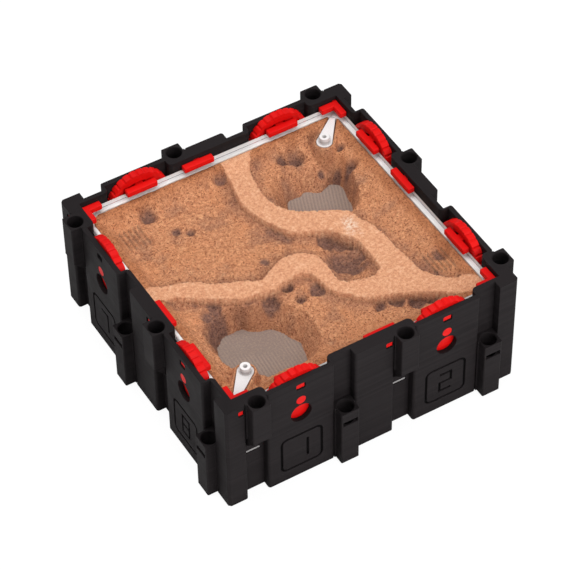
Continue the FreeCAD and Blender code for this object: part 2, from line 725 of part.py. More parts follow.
def tray_side():
    """A side of the white tray and the corner at its left end, with a port and an axle seat at each gate.

    Its tabs snap into the wall's tie slots.
    """
    corner = f"({TRAY_INNER} - tray_round)"
    blank = box("tray_side_blank", (f"-{TRAY_HALF}", corner), (FLOOR_TOP, TRAY_TOP), (corner, TRAY_HALF))
    hollow = upright("tray_hollow", TRAY_INNER, f"{FLOOR_TOP} - {RUN}", f"{TRAY_TOP} + {RUN}", "tray_round")
    seat = upright("tray_seal_seat", f"({TRAY_HALF} - rim_width)", f"{TRAY_TOP} - seal_seat", f"{TRAY_TOP} + {RUN}",
                   "tray_round + tray_wall - rim_width")
    cutters = [hollow, seat]
    for gate in (f"-{GATE}", GATE):
        cutters.append(cylinder("tray_port", "z", (f"{TRAY_INNER} - {RUN}", f"{TRAY_HALF} + {RUN}"), (gate, PORT_LEVEL),
                                "inner_port / 2"))
        cutters.append(cylinder("tray_axle_seat", "z", (f"{TRAY_HALF} - axle_depth", f"{TRAY_HALF} + {RUN}"),
                                (gate, AXLE_LEVEL), "axle_diameter / 2 + axle_play"))
    shell = cut("tray_side_shell", blank, cutters)
    tabs = []
    for place in (f"-{OUTER_CONNECTOR}", INNER_CONNECTOR):
        tabs.append(box("tray_tab", (f"{place} - tie_slot_width / 2 + tab_gap", f"{place} + tie_slot_width / 2 - tab_gap"),
                        (f"{TIE_SLOT} - tie_slot_height / 2 + tab_gap", f"{TIE_SLOT} + tie_slot_height / 2 - tab_gap"),
                        (f"{TRAY_HALF} - {RUN}", f"{RECESS} - tab_inset")))
    return fuse("tray_side", [shell] + tabs)


def tray_floor():
    """The floor of the white tray."""
    keep(box("tray_floor", (f"-{TRAY_HALF}", TRAY_HALF), (f"-{TRAY_HALF}", TRAY_HALF), ("base_thickness", FLOOR_TOP)),
         "tray_floor")


def lid_seal():
    """The strip between the tray's rim and the lid."""
    outer_half = f"({TRAY_HALF} - rim_width - seal_play)"
    outside = rounded_box("seal_outside", outer_half, outer_half, f"{TRAY_TOP} - seal_seat", LID_LEVEL,
                          "tray_round + tray_wall - rim_width - seal_play")
    hollow = rounded_box("seal_hollow", TRAY_INNER, TRAY_INNER, f"{TRAY_TOP} - seal_seat - {RUN}", f"{LID_LEVEL} + {RUN}",
                         "tray_round")
    keep(cut("lid_seal", outside, [hollow]), "lid_seal")


def lid():
    """The clear lid, with vent slits at two corners and a hole over each inlet."""
    plate = rounded_box("lid_plate", TRAY_HALF, TRAY_HALF, LID_LEVEL, LID_TOP, "lid_round")
    through = (f"{LID_LEVEL} - {RUN}", f"{LID_TOP} + {RUN}")
    cutters = []
    for sign in ("-", ""):
        centre = (f"{sign}{INLET}", f"{sign}{INLET}")
        cutters.append(cylinder("lid_inlet_hole", "z", through, centre, "nipple_diameter / 2 + lid_hole_gap"))
    middle = (number("vent_count") - 1) / 2
    for across, up in (("-", ""), ("", "-")):
        for index in range(int(number("vent_count"))):
            x = f"({across}({TRAY_INNER} - vent_inset_x) + {index - middle} * vent_pitch)"
            y = f"({up}({TRAY_INNER} - vent_inset_y))"
            cutters.append(box("lid_vent", (f"{x} - vent_width / 2", f"{x} + vent_width / 2"),
                               (f"{y} - vent_length / 2", f"{y} + vent_length / 2"), through))
    keep(cut("lid", plate, cutters), "lid")


CORNER_ANGLE = 45  # degrees
INLET_TURNS = {"front": 3 * CORNER_ANGLE, "back": -CORNER_ANGLE}


def teardrop(name, low, high, gap="0"):
    """An inlet's head and the tail that reaches into the tray's corner, grown by a gap."""
    head = cylinder(name + "_head", "z", (low, high), ("0", "0"), f"inlet_head / 2 + {gap}")
    tail = doc.addObject("Part::Wedge", name + "_tail")
    bind(tail, "Ymin", "0")
    bind(tail, "Ymax", f"sqrt(2) * ({TRAY_INNER} - tray_round - {INLET}) + tray_round - inlet_tail_gap + {gap}")
    for prop, expression in (("Xmin", f"-inlet_head / 2 - {gap}"), ("Xmax", f"inlet_head / 2 + {gap}"),
                             ("X2min", f"-inlet_tail_half - {gap}"), ("X2max", f"inlet_tail_half + {gap}")):
        bind(tail, prop, expression)
    for prop, expression in (("Zmin", low), ("Z2min", low), ("Zmax", high), ("Z2max", high)):
        bind(tail, prop, expression)
    return fuse(name, [head, tail])


def at_inlet(item, turn):
    """Puts what is drawn about an inlet's axis in its place: turned to the corner that its tail reaches."""
    item.Placement = Placement(Vector(), Rotation(Vector(0, 0, 1), turn))
    reach = f"-{INLET}" if turn > 0 else INLET
    bind(item, "Placement.Base.x", reach)
    bind(item, "Placement.Base.y", reach)
    return item


def inlet(label, turn):
    """A watering inlet: a nipple through the lid, a head and tail under it and a tube down to the sponge."""
    nipple = cylinder(label + "_nipple", "z", (f"{INLET_TOP} - {RUN}", NIPPLE_TOP), ("0", "0"), "nipple_diameter / 2")
    tube = cylinder(label + "_tube", "z", ("sponge_level + sponge_gap", INLET_TOP), ("0", "0"), "nipple_diameter / 2")
    body = fuse(label + "_body", [teardrop(label + "_plate", INLET_UNDER, INLET_TOP), nipple, tube])
    bore = cylinder(label + "_bore", "z", (f"sponge_level + sponge_gap - {RUN}", f"{NIPPLE_TOP} + {RUN}"), ("0", "0"),
                    "nipple_bore / 2")
    keep(at_inlet(cut(label, body, [bore]), turn), label)


def sponge_span(sign, middle, half):
    """From the far side of a pad to past the inlet's tube, on one axis."""
    reach = f"{INLET} + nipple_diameter"
    near_side = f"{middle} - {half}"
    return (near_side, reach) if sign > 0 else (f"-({reach})", f"-({near_side})")


def sponges_and_pads():
    """The water stores under the inlets and the ribbed pads that they keep damp."""
    for label, sign in (("front", -1), ("back", 1)):
        mark = "-" if sign < 0 else ""
        keep(box(f"sponge_{label}", sponge_span(sign, PAD_X, "pad_half_x"), sponge_span(sign, PAD_Y, "pad_half_y"),
                 (FLOOR_TOP, "sponge_level")), f"sponge_{label}")
        pad = rounded_box(f"hydration_pad_{label}", "(pad_half_x - sand_gap)", "(pad_half_y - sand_gap)", "sponge_level",
                          PAD_TOP, "pad_round - sand_gap")
        bind(pad, "Placement.Base.x", f"{mark}{PAD_X}")
        bind(pad, "Placement.Base.y", f"{mark}{PAD_Y}")
        keep(pad, f"hydration_pad_{label}")


# The raised paths, from bend to bend, as shares of the sand's half-width along X and Y
LONG_PATH = ((-1.0, 0.13), (-0.7, -0.02), (-0.45, -0.14), (-0.22, -0.15), (-0.02, -0.09), (0.12, -0.13), (0.16, -0.23),
             (0.16, -0.42), (0.31, -0.58), (0.52, -0.65), (0.74, -0.8), (0.99, -0.99))
SHORT_PATH = ((0.14, 1.0), (0.06, 0.61), (0.09, 0.31), (0.31, 0.2), (0.52, 0.07), (0.59, -0.15), (0.59, -0.46),
              (0.62, -0.65))


def path_run(x0, y0, x1, y1):
    """A straight stretch of raised path between two bends, with sloping flanks."""
    scale = number(SAND_HALF)
    start = Vector(x0 * scale, y0 * scale, 0)
    along = Vector(x1 * scale, y1 * scale, 0) - start
    run = doc.addObject("Part::Wedge", "path_run")
    for prop in ("Xmax", "X2max"):
        bind(run, prop, f"{along.Length / scale} * {SAND_HALF}")
    for prop in ("Xmin", "X2min"):
        bind(run, prop, "0")
    bind(run, "Ymin", "0")
    bind(run, "Ymax", f"{PATH_LEVEL} - {SAND_LEVEL}")
    bind(run, "Zmin", "-path_width / 2 - path_shoulder")
    bind(run, "Zmax", "path_width / 2 + path_shoulder")
    bind(run, "Z2min", "-path_width / 2")
    bind(run, "Z2max", "path_width / 2")
    turn = Rotation(Vector(1, 0, 0), along) * Rotation(Vector(1, 0, 0), 90)
    run.Placement = Placement(start, turn)
    bind(run, "Placement.Base.z", SAND_LEVEL)
    return run


def path_bend(x, y):
    """The round mound that joins two stretches of path."""
    mound = doc.addObject("Part::Cone", "path_bend")
    bind(mound, "Radius1", "path_width / 2 + path_shoulder")
    bind(mound, "Radius2", "path_width / 2")
    bind(mound, "Height", f"{PATH_LEVEL} - {SAND_LEVEL}")
    bind(mound, "Placement.Base.x", f"{x} * {SAND_HALF}")
    bind(mound, "Placement.Base.y", f"{y} * {SAND_HALF}")
    bind(mound, "Placement.Base.z", SAND_LEVEL)
    return mound


def slope(name, low, high, foot_x, foot_y, brim_x, brim_y):
    """A block whose four sides slope from a foot at the level low to a brim at the level high."""
    block = doc.addObject("Part::Wedge", name)
    block.Placement = Placement(Vector(), Rotation(Vector(1, 0, 0), 90))
    bind(block, "Ymin", low)
    bind(block, "Ymax", high)
    for props, span in ((("Xmin", "Xmax"), foot_x), (("X2min", "X2max"), brim_x)):
        for prop, place in zip(props, span):
            bind(block, prop, place)
    for props, span in ((("Zmin", "Zmax"), foot_y), (("Z2min", "Z2max"), brim_y)):
        for prop, place in zip(props, reversed(span)):
            bind(block, prop, f"-({place})")
    return block


def pit(label, sign):
    """The cutter of the sloping pit over a pad. It falls steeply beside the path and gently elsewhere."""
    spans = []
    for axis, inner_slope in (("x", "open_slope"), ("y", "path_slope")):
        middle = f"({TRAY_INNER} - {label}_pit_inset_{axis})"
        near_side, far_side = f"{middle} - {label}_pit_half_{axis}", f"{middle} + {label}_pit_half_{axis}"
        foot = (near_side, far_side)
        brim = (f"{near_side} - {inner_slope}", f"{far_side} + wall_slope")
        if sign < 0:
            foot = (f"-({far_side})", f"-({near_side})")
            brim = (f"-({far_side} + wall_slope)", f"-({near_side} - {inner_slope})")
        spans.append((foot, brim))
    (foot_x, brim_x), (foot_y, brim_y) = spans
    return slope(f"{label}_pit", f"{PAD_TOP} + sand_gap", f"{PATH_LEVEL} + {RUN}", foot_x, foot_y, brim_x, brim_y)


def sand_heap():
    """The sand before its pits: open ground inside a bank along the walls, with the raised paths."""
    block = rounded_box("sand_block", SAND_HALF, SAND_HALF, FLOOR_TOP, BANK_LEVEL, "tray_round - sand_gap")
    foot = f"({SAND_HALF} - bank_width)"
    crest = f"({SAND_HALF} - bank_crest)"
    basin = slope("sand_basin", SAND_LEVEL, BANK_LEVEL, (f"-{foot}", foot), (f"-{foot}", foot), (f"-{crest}", crest),
                  (f"-{crest}", crest))
    ridges = []
    for path in (LONG_PATH, SHORT_PATH):
        for (x0, y0), (x1, y1) in zip(path, path[1:]):
            ridges.append(path_run(x0, y0, x1, y1))
        for x, y in path:
            ridges.append(path_bend(x, y))
    trim = rounded_box("sand_trim", SAND_HALF, SAND_HALF, FLOOR_TOP, PATH_LEVEL, "tray_round - sand_gap")
    paths = doc.addObject("Part::MultiCommon", "sand_paths")
    paths.Shapes = [fuse("sand_ridges", ridges), trim]
    return fuse("sand_heap", [cut("sand_ground", block, [basin]), paths])


BURROW_FLOOR = f"({PORT_LEVEL} - inner_port / 2)"


def substrate():
    """The packed sand, with a sloping pit over each pad, a hollow between the paths and a burrow inside each gate.

    It is one mass, given as a bed below the gates, a core above it and a rim along the walls that holds the burrows.
    """
    cutters = []
    for label, sign in (("front", -1), ("back", 1)):
        mark = "-" if sign < 0 else ""
        bed = rounded_box("pad_bed", "pad_half_x", "pad_half_y", "sponge_level", f"{PAD_TOP} + sand_gap", "pad_round")
        bind(bed, "Placement.Base.x", f"{mark}{PAD_X}")
        bind(bed, "Placement.Base.y", f"{mark}{PAD_Y}")
        spans = []
        for middle, extent in ((PAD_X, "pad_half_x"), (PAD_Y, "pad_half_y")):
            low, high = sponge_span(sign, middle, extent)
            spans.append((f"{low} - sponge_gap", f"{high} + sponge_gap"))
        store = box("sponge_store", spans[0], spans[1], (f"{FLOOR_TOP} - {RUN}", "sponge_level"))
        shaft = cylinder("inlet_shaft", "z", (FLOOR_TOP, f"{BANK_LEVEL} + {RUN}"),
                         (f"{mark}{INLET}", f"{mark}{INLET}"), "nipple_diameter / 2 + sand_gap")
        seat = teardrop("inlet_seat", f"{INLET_UNDER} - sand_gap", f"{BANK_LEVEL} + {RUN}", "sand_gap")
        cutters.extend([bed, store, shaft, at_inlet(seat, INLET_TURNS[label]), pit(label, sign)])
    hollow = doc.addObject("Part::Cone", "path_hollow")
    bind(hollow, "Radius1", "hollow_foot")
    bind(hollow, "Radius2", "hollow_brim")
    bind(hollow, "Height", "hollow_depth")
    bind(hollow, "Placement.Base.x", "hollow_x")
    bind(hollow, "Placement.Base.y", "-hollow_y")
    bind(hollow, "Placement.Base.z", f"{SAND_LEVEL} - hollow_depth")
    cutters.append(hollow)
    burrow = box("gate_burrow", ("-inner_port / 2", "inner_port / 2"),
                 (BURROW_FLOOR, f"{PORT_LEVEL} + inner_port / 2"),
                 (f"{SAND_HALF} - inner_port / 2", f"{SAND_HALF} + {RUN}"))
    pitted = cut("sand_pitted", sand_heap(), cutters)
    whole = cut("sand_whole", pitted, [group("gate_burrows", at_gates("gate_burrow_placed", burrow))])
    outer = (f"-{SAND_HALF} - {RUN}", f"{SAND_HALF} + {RUN}")
    inner = (f"-{SAND_HALF} + inner_port / 2", f"{SAND_HALF} - inner_port / 2")
    lower = box("sand_lower", outer, outer, (f"{FLOOR_TOP} - {RUN}", BURROW_FLOOR))
    middle = box("sand_middle", inner, inner, (BURROW_FLOOR, f"{BANK_LEVEL} + {RUN}"))
    keep(common("substrate_bed", whole, lower), "substrate_bed")
    keep(common("substrate_core", whole, middle), "substrate_core")
    keep(cut("substrate_rim", whole, [lower, middle]), "substrate_rim")


# ---- Build and export ----

blank = wall_blank()
lug_pair, post_pair = connectors()
gate_clip = straight_clip("gate_clip", "stem_half")
edge_clip = straight_clip("edge_clip", "edge_stem_half")
corner = corner_clip()
tray_wall = tray_side()
wheel = gate_wheel()
axle = gate_axle()
for side_number, side in enumerate(SIDES):
    wall(blank, side, (2 * side_number + 1, 2 * side_number + 2))
    keep(on_side(lug_pair, f"lugs_{side}", side), f"lugs_{side}")
    keep(on_side(post_pair, f"posts_{side}", side), f"posts_{side}")
    keep(on_side(edge_clip, f"edge_clip_{side}", side, across=EDGE_CLIP), f"edge_clip_{side}")
    keep(on_side(corner, f"corner_clip_{side}", side), f"corner_clip_{side}")
    keep(on_side(tray_wall, f"tray_wall_{side}", side), f"tray_wall_{side}")
base_plate()
tray_floor()
lid_seal()
lid()
for label, turn in INLET_TURNS.items():
    inlet(f"inlet_{label}", turn)
sponges_and_pads()
substrate()
for digit, (side, gate) in GATES.items():
    keep(on_side(wheel, f"gate_wheel_{digit}", side, gate, AXLE_LEVEL, WHEEL_BACK), f"gate_wheel_{digit}")
    keep(on_side(axle, f"gate_axle_{digit}", side, gate), f"gate_axle_{digit}")
    if f"gate_clip_{digit}" != MISSING_CLIP:
        keep(on_side(gate_clip, f"gate_clip_{digit}", side, gate), f"gate_clip_{digit}")
doc.recompute()

for item in doc.Objects:
    if "Invalid" in item.State or "Error" in item.State:
        raise RuntimeError(f"{item.Label} failed: {item.State}")
os.makedirs("parts", exist_ok=True)
for item in PARTS:
    if item.Shape.isNull() or not item.Shape.isValid():
        raise RuntimeError(f"{item.Label} has no valid shape")
for item in PARTS:
    item.Shape.exportStep(f"parts/{item.Label}.step")
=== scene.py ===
import json
import math

import bmesh
import bpy
import numpy as np
from mathutils import Matrix, Vector, noise


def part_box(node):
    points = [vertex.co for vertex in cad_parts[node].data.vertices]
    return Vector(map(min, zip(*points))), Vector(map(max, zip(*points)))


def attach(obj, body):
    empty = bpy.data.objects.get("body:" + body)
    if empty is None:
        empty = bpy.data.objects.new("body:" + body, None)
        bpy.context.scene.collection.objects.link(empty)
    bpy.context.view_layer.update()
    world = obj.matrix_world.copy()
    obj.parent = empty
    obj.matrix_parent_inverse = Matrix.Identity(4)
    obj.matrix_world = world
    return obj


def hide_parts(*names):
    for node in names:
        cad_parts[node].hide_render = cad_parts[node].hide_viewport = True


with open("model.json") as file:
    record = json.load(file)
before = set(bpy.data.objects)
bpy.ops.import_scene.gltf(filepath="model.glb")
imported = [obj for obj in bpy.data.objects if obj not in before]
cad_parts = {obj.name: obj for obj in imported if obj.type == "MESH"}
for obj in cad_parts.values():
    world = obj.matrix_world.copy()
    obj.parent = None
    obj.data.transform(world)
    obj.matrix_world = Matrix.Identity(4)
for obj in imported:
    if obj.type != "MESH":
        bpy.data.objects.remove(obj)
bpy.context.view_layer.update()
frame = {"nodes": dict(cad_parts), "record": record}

NODES = frame["nodes"]
MM = 0.001


# ---- Camera ----

AZIMUTH, ELEVATION, ROLL = math.radians(-30.142), math.radians(46.98), math.radians(-1.115)
TARGET = Vector((0.019389, 0.035798, 0.0))
DISTANCE = 1.7338
FOCAL_PIXELS, FRAME_PIXELS = 2750.5, 570


def make_camera():
    """The camera at the photograph's viewing angle."""
    level = math.cos(ELEVATION)
    back = Vector((math.sin(AZIMUTH) * level, -math.cos(AZIMUTH) * level, math.sin(ELEVATION)))
    right = (-back).cross(Vector((0, 0, 1))).normalized()
    up = right.cross(-back)
    rolled_right = right * math.cos(ROLL) + up * math.sin(ROLL)
    rolled_up = -right * math.sin(ROLL) + up * math.cos(ROLL)
    data = bpy.data.cameras.new("camera")
    data.sensor_width = 36
    data.lens = FOCAL_PIXELS / FRAME_PIXELS * data.sensor_width
    data.clip_end = 20
    camera = bpy.data.objects.new("camera", data)
    bpy.context.scene.collection.objects.link(camera)
    axes = Matrix((rolled_right, rolled_up, back)).transposed().to_4x4()
    camera.matrix_world = Matrix.Translation(TARGET + back * DISTANCE) @ axes
    bpy.context.scene.camera = camera


# ---- Materials ----

# Places in metres: the engraved grooves' floors lie between two distances from the middle, the tray gets a painted
# shade below a height, and the lid's outer edge is further out than its slits and holes
GROOVE_FLOOR = (0.0986, 0.0994)
TRAY_SHADE_TOP = 0.06
LID_EDGE = 0.08


def srgb(red, green, blue):
    """A colour given as 0-255 display values, as linear RGBA."""
    linear = []
    for value in (red, green, blue):
        share = value / 255
        linear.append(share / 12.92 if share <= 0.04045 else ((share + 0.055) / 1.055) ** 2.4)
    return (*linear, 1.0)


def neutral(value):
    """A linear grey as RGBA."""
    return (value, value, value, 1)


class Nodes:
    """A material's node tree, built link by link."""

    def __init__(self, name):
        self.material = bpy.data.materials.new(name)
        self.material.use_nodes = True
        self.tree = self.material.node_tree
        self.shader = self.tree.nodes["Principled BSDF"]
        self.output = self.tree.nodes["Material Output"]
        self.object = self.add("ShaderNodeTexCoord").outputs["Object"]

    def add(self, kind, **settings):
        node = self.tree.nodes.new(kind)
        for key, value in settings.items():
            setattr(node, key, value)
        return node

    def link(self, source, target):
        self.tree.links.new(source, target)

    def feed(self, value, socket):
        """Link an output to a socket, or set a plain value on it."""
        if hasattr(value, "is_output"):
            self.link(value, socket)
        else:
            socket.default_value = value

    def stretched(self, x, y, z, turn=0.0):
        """Object coordinates turned about z and scaled along each axis."""
        mapping = self.add("ShaderNodeMapping")
        mapping.inputs["Scale"].default_value = (x, y, z)
        mapping.inputs["Rotation"].default_value = (0, 0, turn)
        self.link(self.object, mapping.inputs["Vector"])
        return mapping.outputs["Vector"]

    def parts(self, vector):
        """The x, y and z of a vector."""
        split = self.add("ShaderNodeSeparateXYZ")
        self.link(vector, split.inputs[0])
        return split.outputs["X"], split.outputs["Y"], split.outputs["Z"]

    def noise(self, vector, scale, detail=4.0, roughness=0.55):
        texture = self.add("ShaderNodeTexNoise")
        texture.inputs["Scale"].default_value = scale
        texture.inputs["Detail"].default_value = detail
        texture.inputs["Roughness"].default_value = roughness
        self.link(vector, texture.inputs["Vector"])
        return texture.outputs["Fac"]

    def ramp(self, factor, *stops):
        """A colour ramp. Each stop is (position, colour)."""
        ramp = self.add("ShaderNodeValToRGB")
        points = ramp.color_ramp.elements
        while len(points) < len(stops):
            points.new(0.5)
        for point, (position, colour) in zip(points, stops):
            point.position = position
            point.color = colour
        self.link(factor, ramp.inputs["Fac"])
        return ramp.outputs["Color"]

    def grey(self, factor, *stops):
        """A ramp of plain values."""
        return self.ramp(factor, *[(position, neutral(value)) for position, value in stops])

    def mix(self, factor, first, second, blend="MIX"):
        """Two colours mixed by a factor."""
        node = self.add("ShaderNodeMix", data_type="RGBA", blend_type=blend)
        for index, value in ((0, factor), (6, first), (7, second)):
            self.feed(value, node.inputs[index])
        return node.outputs[2]

    def math(self, operation, first, second=0.0):
        node = self.add("ShaderNodeMath", operation=operation)
        self.feed(first, node.inputs[0])
        self.feed(second, node.inputs[1])
        return node.outputs[0]

    def absolute(self, value):
        return self.math("ABSOLUTE", value)

    def times(self, first, second):
        return self.math("MULTIPLY", first, second)

    def above(self, value, limit):
        return self.math("GREATER_THAN", value, limit)

    def below(self, value, limit):
        return self.math("LESS_THAN", value, limit)

    def blend(self, factor, first, second):
        """One shader mixed with another by a factor."""
        mixed = self.add("ShaderNodeMixShader")
        self.link(factor, mixed.inputs[0])
        self.link(first.outputs[0], mixed.inputs[1])
        self.link(second.outputs[0], mixed.inputs[2])
        return mixed

    def attribute(self, name):
        return self.add("ShaderNodeAttribute", attribute_name=name).outputs["Fac"]

    def bump(self, height, strength, distance, normal=None):
        node = self.add("ShaderNodeBump")
        node.inputs["Strength"].default_value = strength
        node.inputs["Distance"].default_value = distance
        self.link(height, node.inputs["Height"])
        if normal:
            self.link(normal, node.inputs["Normal"])
        return node.outputs["Normal"]

    def softened(self, radius):
        """The surface normal with its hard edges rounded."""
        node = self.add("ShaderNodeBevel", samples=4)
        node.inputs["Radius"].default_value = radius
        return node.outputs["Normal"]

    def finish(self, colour, roughness, normal, **fixed):
        """The material, with its shader's inputs set."""
        for socket, value in (("Base Color", colour), ("Roughness", roughness), ("Normal", normal)):
            self.feed(value, self.shader.inputs[socket])
        for socket, value in fixed.items():
            self.shader.inputs[socket.replace("_", " ")].default_value = value
        return self.material

    def finish_with(self, shader):
        """The material, with another shader than its own as its surface."""
        self.link(shader.outputs[0], self.output.inputs["Surface"])
        return self.material


def shaded_groove_floors(n):
    """Where the engraved grooves' floors are, which get painted shade: they face straight out, a little behind the
    panels.
    """
    facing_x, facing_y, _ = n.parts(n.add("ShaderNodeNewGeometry").outputs["True Normal"])
    x, y, _ = n.parts(n.object)
    x, y = n.absolute(x), n.absolute(y)
    on_x_side = n.above(x, y)
    out_x = n.times(n.absolute(facing_x), on_x_side)
    out_y = n.times(n.absolute(facing_y), n.below(on_x_side, 0.5))
    outward = n.above(n.math("ADD", out_x, out_y), 0.95)
    reach = n.math("MAXIMUM", x, y)
    nearest, furthest = GROOVE_FLOOR
    return n.times(n.times(outward, n.above(reach, nearest)), n.below(reach, furthest))


def shaded_low_tray(n):
    """Where the tray is below the top of its painted shade."""
    return n.below(n.parts(n.object)[2], TRAY_SHADE_TOP)


def printed(name, dark, light, roughness, soft, shine, painted_shade=None, tone=1.0):
    """Printed plastic with level streaks and a mottle. Where painted_shade says so, its colour is multiplied by tone,
    a painted shade.
    """
    n = Nodes(name)
    layers = n.noise(n.stretched(6, 6, 700), scale=1.0, detail=3)
    mottle = n.noise(n.object, scale=90, detail=5)
    colour = n.mix(n.grey(layers, (0.25, 0), (0.75, 1)), dark, light)
    colour = n.mix(n.grey(mottle, (0.3, 0), (0.75, 0.5)), colour, light)
    if painted_shade:
        colour = n.mix(painted_shade(n), colour, neutral(tone), "MULTIPLY")
    rough = n.grey(mottle, (0.2, roughness - 0.08), (0.8, roughness + 0.08))
    normal = n.bump(layers, strength=0.25, distance=0.0002, normal=n.softened(soft))
    normal = n.bump(mottle, strength=0.08, distance=0.0003, normal=normal)
    return n.finish(colour, rough, normal, Specular_IOR_Level=shine)


def make_black():
    # The engraved grooves' floors get painted shade: their colour is multiplied by 0.15.
    return printed("black_print", srgb(25, 22, 23), srgb(38, 34, 35), roughness=0.6, soft=0.0005, shine=0.05,
                   painted_shade=shaded_groove_floors, tone=0.15)


def make_red():
    return printed("red_print", srgb(194, 4, 6), srgb(216, 16, 12), roughness=0.5, soft=0.0003, shine=0.12)


def make_white():
    # Below TRAY_SHADE_TOP the tray's colour is multiplied by 0.4, a painted shade.
    return printed("tray_print", srgb(216, 211, 210), srgb(230, 226, 225), roughness=0.5, soft=0.0004, shine=0.2,
                   painted_shade=shaded_low_tray, tone=0.4)


def make_clear():
    """Clear acrylic: level faces pass light under a faint gloss and its outer edge is whitish; the cut edges of its
    slits and holes get a painted shade of dark brown.
    """
    n = Nodes("clear_acrylic")
    clear = n.add("ShaderNodeBsdfTransparent")
    smear = n.noise(n.object, scale=30, detail=3)
    n.link(n.mix(smear, neutral(0.985), neutral(1)), clear.inputs["Color"])
    gloss = n.add("ShaderNodeBsdfGlossy")
    gloss.inputs["Roughness"].default_value = 0.05
    surface = n.add("ShaderNodeNewGeometry")
    level = n.above(n.absolute(n.parts(surface.outputs["True Normal"])[2]), 0.5)
    outside = n.below(surface.outputs["Backfacing"], 0.5)
    fresnel = n.add("ShaderNodeFresnel")
    fresnel.inputs["IOR"].default_value = 1.25
    glossy = n.blend(n.times(fresnel.outputs[0], outside), clear, gloss)
    x, y, _ = n.parts(n.object)
    at_rim = n.above(n.math("MAXIMUM", n.absolute(x), n.absolute(y)), LID_EDGE)
    frost_and_shade = n.add("ShaderNodeBsdfDiffuse")
    # Away from the rim the cut edges are painted dark brown: a painted shade round the slits and holes.
    n.link(n.mix(at_rim, (0.14, 0.11, 0.1, 1), neutral(0.9)), frost_and_shade.inputs["Color"])
    cut_edge = n.blend(n.grey(at_rim, (0, 0.22), (1, 0.8)), clear, frost_and_shade)
    return n.finish_with(n.blend(level, cut_edge, glossy))


def make_sand():
    """Sand and clay: pale smooth paths, brown crumbly ground, orange crust along the walls, and darker damp soil with
    painted shade in the dents, down the pits' slopes and beside the paths.
    """
    n = Nodes("sand")
    grain = n.noise(n.object, scale=950, detail=3, roughness=0.7)
    crumbs = n.noise(n.object, scale=520, detail=5, roughness=0.85)
    patches = n.noise(n.object, scale=45, detail=4, roughness=0.6)
    ground = n.ramp(crumbs, (0.34, srgb(164, 106, 76)), (0.5, srgb(213, 147, 107)), (0.64, srgb(242, 185, 138)))
    ground = n.mix(n.grey(patches, (0.4, 0), (0.7, 0.5)), ground, srgb(216, 146, 100))
    # The darker colour for damp soil and painted shade, laid on by the share worked out in shape_sand.
    dark = n.ramp(crumbs, (0.34, srgb(96, 68, 62)), (0.5, srgb(140, 102, 88)), (0.66, srgb(176, 130, 104)))
    ground = n.mix(n.times(n.attribute("damp_and_shade"), 1.2), ground, dark)
    edge = n.ramp(crumbs, (0.34, srgb(150, 92, 58)), (0.62, srgb(208, 136, 92)))
    ground = n.mix(n.attribute("edge"), ground, edge)
    ground = n.mix(n.grey(grain, (0.36, 0.95), (0.44, 0)), ground, srgb(140, 96, 80), "MULTIPLY")
    path = n.ramp(crumbs, (0.36, srgb(214, 148, 112)), (0.5, srgb(234, 170, 130)), (0.64, srgb(250, 202, 164)))
    path = n.mix(n.grey(grain, (0.36, 0.4), (0.48, 0)), path, srgb(200, 140, 96), "MULTIPLY")
    pale = n.times(n.attribute("pale"), n.grey(crumbs, (0.45, 0), (0.55, 0.8)))
    path = n.mix(pale, path, srgb(250, 226, 204))
    colour = n.mix(n.attribute("path"), ground, path)
    height = n.math("ADD", n.times(grain, 0.6), crumbs)
    return n.finish(colour, n.grey(crumbs, (0.2, 0.8), (0.8, 1.0)), n.bump(height, strength=0.9, distance=0.0012),
                    Specular_IOR_Level=0.1)


def make_pad(name, turn, worn):
    """Grey porous plate with fine ribs across it, turned by some degrees and worn smooth in places."""
    n = Nodes(name)
    ribs = n.add("ShaderNodeTexWave", bands_direction="X")
    ribs.inputs["Scale"].default_value = 150
    ribs.inputs["Distortion"].default_value = 0.6
    ribs.inputs["Detail"].default_value = 1
    n.link(n.stretched(1, 1, 1, math.radians(turn)), ribs.inputs["Vector"])
    pores = n.noise(n.object, scale=900, detail=3)
    kept = n.grey(n.noise(n.object, scale=28, detail=2), (worn - 0.08, 0), (worn + 0.08, 1))
    ribbed = n.times(n.grey(ribs.outputs["Fac"], (0.2, 0), (0.8, 1)), kept)
    colour = n.mix(ribbed, srgb(137, 119, 110), srgb(152, 133, 122))
    colour = n.mix(n.grey(pores, (0.45, 0), (0.75, 0.6)), colour, srgb(168, 146, 128))
    height = n.math("ADD", ribbed, n.times(pores, 0.5))
    return n.finish(colour, 0.9, n.bump(height, strength=0.35, distance=0.0004))


def make_sponge():
    """Yellow foam with open cells."""
    n = Nodes("sponge_foam")
    texture = n.add("ShaderNodeTexVoronoi")
    texture.inputs["Scale"].default_value = 500
    n.link(n.object, texture.inputs["Vector"])
    cells = texture.outputs["Distance"]
    colour = n.ramp(cells, (0.1, srgb(150, 130, 60)), (0.6, srgb(226, 208, 130)))
    return n.finish(colour, 0.95, n.bump(cells, strength=0.8, distance=0.001))


def make_seal():
    """Pale rubber."""
    n = Nodes("seal_strip")
    fine = n.noise(n.object, scale=300, detail=3)
    colour = n.mix(fine, srgb(214, 212, 210), srgb(236, 234, 232))
    return n.finish(colour, n.grey(fine, (0.3, 0.5), (0.7, 0.7)), n.bump(fine, strength=0.2, distance=0.0003))


def make_floor_material():
    """A white floor that stays white to the camera, with a trace of shadow."""
    n = Nodes("floor")
    tone = n.noise(n.object, scale=1.5, detail=2)
    n.link(n.mix(tone, neutral(0.92), neutral(0.94)), n.shader.inputs["Base Color"])
    n.shader.inputs["Roughness"].default_value = 0.9
    n.shader.inputs["Specular IOR Level"].default_value = 0.0
    glow = n.add("ShaderNodeEmission")
    glow.inputs["Strength"].default_value = 1.05
    share = n.times(n.add("ShaderNodeLightPath").outputs["Is Camera Ray"], 0.88)
    return n.finish_with(n.blend(share, n.shader, glow))


def paint(obj, material):
    obj.data.materials.clear()
    obj.data.materials.append(material)


# ---- Landscape, in mm ----

